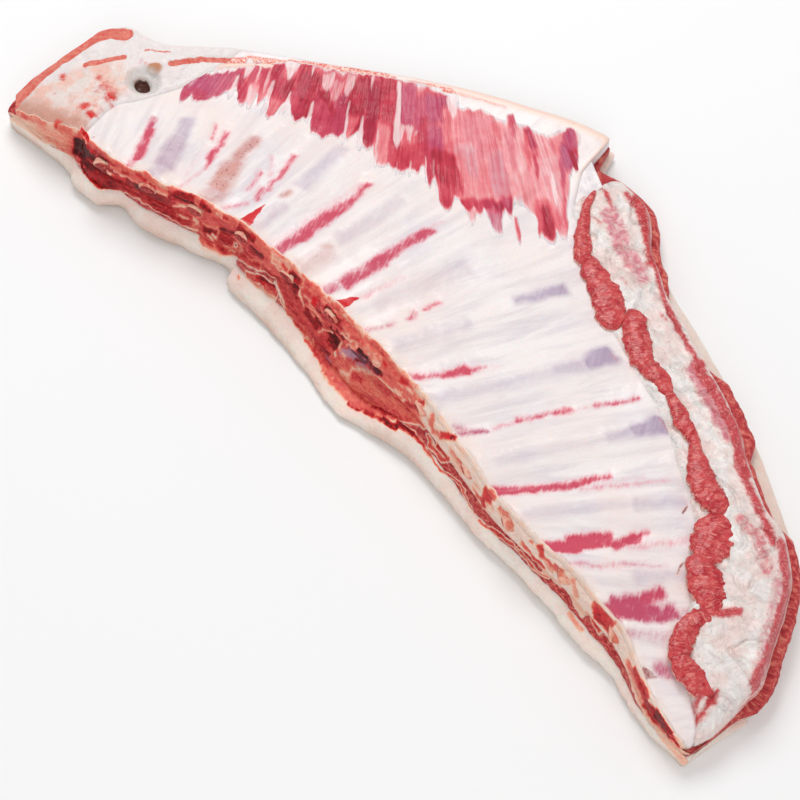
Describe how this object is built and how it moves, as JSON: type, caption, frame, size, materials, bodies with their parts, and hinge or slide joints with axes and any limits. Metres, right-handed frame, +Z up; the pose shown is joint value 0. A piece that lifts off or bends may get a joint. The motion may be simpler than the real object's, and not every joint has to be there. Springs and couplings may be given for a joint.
{
  "type": "raw lamb ribs",
  "caption": "Raw lamb breast lying inner side up: ribs under membrane, a sawn edge of bone, lean and fat, a brisket tip and a flank edged by skirt muscle.",
  "frame": {"origin": "middle of the slab's box, at the level of the surface that it rests on", "axes": "+X along the slab from the brisket tip to the flank tip, +Y from the sawn edge to the outer edge, +Z up, out of the inner side of the chest wall"},
  "size_m": [0.463, 0.2128, 0.031],
  "materials": {
    "fat": "firm raw fat, off-white with a pink tinge, waxy",
    "lean": "raw lean meat, dark red, moist, with a visible grain",
    "membrane": "moist silvery membrane over fat, bone and muscle",
    "bone": "sawn raw bone, pink with red marrow",
    "muscle": "raw thin muscle, bright red, coarse and moist"
  },
  "bodies": {
    "root": {"fat_cover": "fat", "lean_layer": "lean", "rib_panel": "membrane", "brisket_end": "fat", "flank_fat": "fat", "skirt_muscle": "muscle", "rib_01": "bone", "rib_02": "bone", "rib_03": "bone", "rib_04": "bone", "rib_05": "bone", "rib_06": "bone", "rib_07": "bone", "rib_08": "bone", "rib_09": "bone", "rib_10": "bone", "rib_11": "bone", "rib_12": "bone"}
  },
  "joints": []
}
